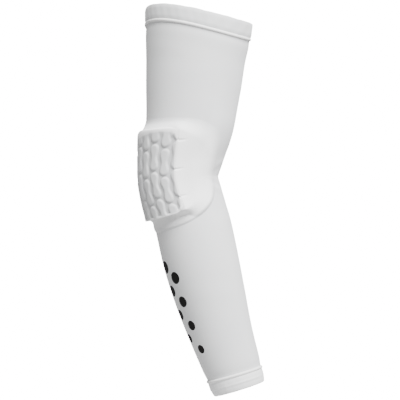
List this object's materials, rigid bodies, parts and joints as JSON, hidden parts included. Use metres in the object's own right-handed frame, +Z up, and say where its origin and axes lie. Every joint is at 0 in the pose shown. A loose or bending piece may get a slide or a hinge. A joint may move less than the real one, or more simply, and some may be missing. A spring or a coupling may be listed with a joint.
{
  "type": "elbow pad",
  "caption": "Long stretch-knit arm sleeve shaped to a slightly bent arm, with a moulded foam elbow pad of bone-shaped tiles, sewn end bands and printed dots on the forearm",
  "frame": {"origin": "middle of the arm at the elbow, where the two limbs' lines meet", "axes": "+Z up along the arm towards the upper opening, -X the back of the arm, +X the inside of the elbow; the arm bends in the XZ plane and the pad is turned from -X towards -Y"},
  "size_m": [0.1297, 0.1022, 0.3961],
  "materials": {
    "sleeve_knit": "fine matt warp knit of nylon and elastane",
    "band_knit": "doubled matt knit, topstitched",
    "seam_thread": "raised flat-lock seam of polyester thread",
    "pad_face": "knit laminated over moulded foam, matt",
    "print_ink": "matt heat-transfer film"
  },
  "bodies": {
    "root": {"sleeve": "sleeve_knit", "upper_band": "band_knit", "wrist_band": "band_knit", "upper_seam": "seam_thread", "wrist_seam": "seam_thread", "pad_margin": "sleeve_knit", "elbow_pad": "pad_face", "print_dot_1": "print_ink", "print_dot_2": "print_ink", "print_dot_3": "print_ink", "print_dot_4": "print_ink", "print_dot_5": "print_ink", "print_dot_6": "print_ink", "print_dot_7": "print_ink", "print_dot_8": "print_ink"}
  },
  "joints": []
}
